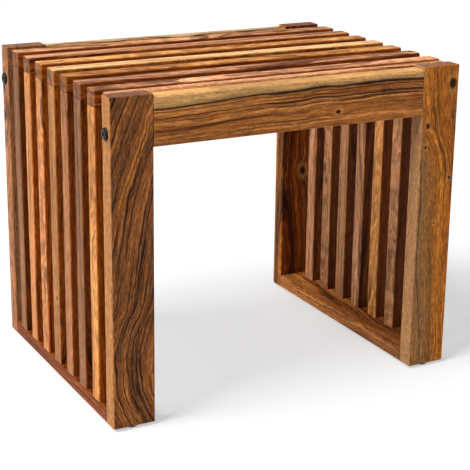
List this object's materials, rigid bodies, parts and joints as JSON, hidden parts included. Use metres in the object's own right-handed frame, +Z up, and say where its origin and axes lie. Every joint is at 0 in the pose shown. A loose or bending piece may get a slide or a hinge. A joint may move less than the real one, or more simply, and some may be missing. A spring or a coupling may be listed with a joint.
{
  "type": "slatted bench",
  "caption": "Low slatted hardwood bench: board legs joined by aprons, slats across the seat and upright slats down both sides, to sit on or stand things on",
  "frame": {"origin": "on the floor, under the middle of the bench", "axes": "+X along the seat slats toward the right side, +Y toward the back, +Z up; front at -Y"},
  "size_m": [0.5372, 0.405, 0.45],
  "materials": {
    "leg_wood": "satin varnish, dark rosewood heartwood",
    "apron_wood": "satin varnish, rosewood with a pale sapwood edge",
    "slat_wood": "satin varnish, light rosewood",
    "rail_wood": "satin varnish, reddish rosewood",
    "dowel_wood": "unfinished beech",
    "black_steel": "black, semi-gloss",
    "zinc_steel": "zinc plated",
    "black_plastic": "matt"
  },
  "bodies": {
    "root": {"leg_front_left": "leg_wood", "leg_front_right": "leg_wood", "leg_back_left": "leg_wood", "leg_back_right": "leg_wood", "apron_front": "apron_wood", "apron_back": "apron_wood", "seat_edge_strip": "apron_wood", "seat_slat_1": "slat_wood", "side_slat_left_1": "slat_wood", "side_slat_right_1": "slat_wood", "seat_slat_2": "slat_wood", "side_slat_left_2": "slat_wood", "side_slat_right_2": "slat_wood", "seat_slat_3": "slat_wood", "side_slat_left_3": "slat_wood", "side_slat_right_3": "slat_wood", "seat_slat_4": "slat_wood", "side_slat_left_4": "slat_wood", "side_slat_right_4": "slat_wood", "seat_slat_5": "slat_wood", "side_slat_left_5": "slat_wood", "side_slat_right_5": "slat_wood", "seat_slat_6": "slat_wood", "side_slat_left_6": "slat_wood", "side_slat_right_6": "slat_wood", "seat_slat_7": "slat_wood", "side_slat_left_7": "slat_wood", "side_slat_right_7": "slat_wood", "bottom_rail_left": "rail_wood", "upper_rail_left": "rail_wood", "bottom_rail_right": "rail_wood", "upper_rail_right": "rail_wood", "seat_batten": "rail_wood", "corner_bolts": "black_steel", "barrel_nuts": "zinc_steel", "apron_dowels": "dowel_wood", "foot_glides": "black_plastic"}
  },
  "joints": []
}
